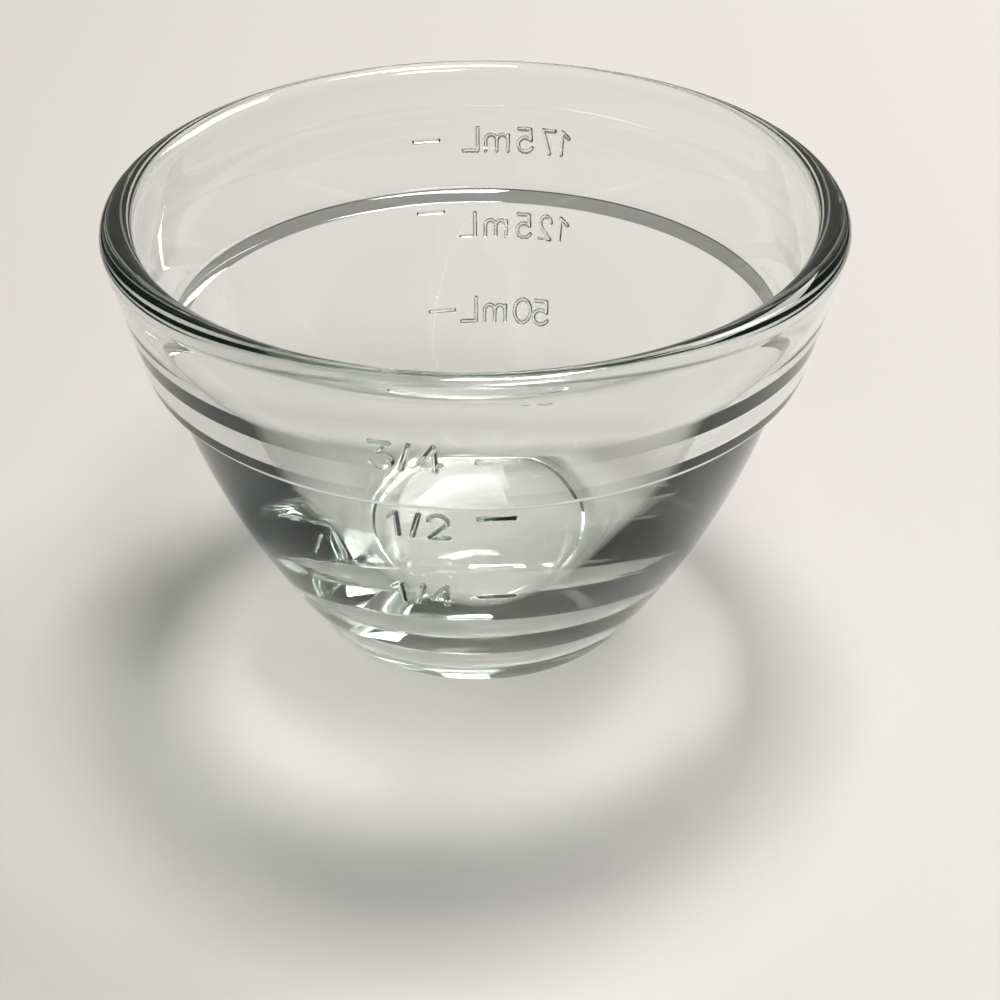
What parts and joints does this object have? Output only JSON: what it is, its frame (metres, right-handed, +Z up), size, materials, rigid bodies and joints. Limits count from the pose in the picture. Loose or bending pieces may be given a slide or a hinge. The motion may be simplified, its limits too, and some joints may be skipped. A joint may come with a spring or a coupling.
{
  "type": "glass prep bowl",
  "caption": "Small clear pressed-glass prep bowl with a rounded rim, a stepped wall on a foot ring, and raised measuring marks on two sides.",
  "frame": {"origin": "centre of the foot ring, on the surface that the bowl stands on", "axes": "+Z up along the bowl's axis, -Y towards the side with the cup scale, +Y towards the mL scale"},
  "size_m": [0.1, 0.1, 0.0648],
  "materials": {
    "clear_glass": "clear pressed glass, smooth inside, raised marks outside"
  },
  "bodies": {
    "root": {"bowl": "clear_glass", "mark_three_quarter_cup": "clear_glass", "mark_half_cup": "clear_glass", "mark_quarter_cup": "clear_glass", "mark_175_ml": "clear_glass", "mark_125_ml": "clear_glass", "mark_50_ml": "clear_glass"}
  },
  "joints": []
}
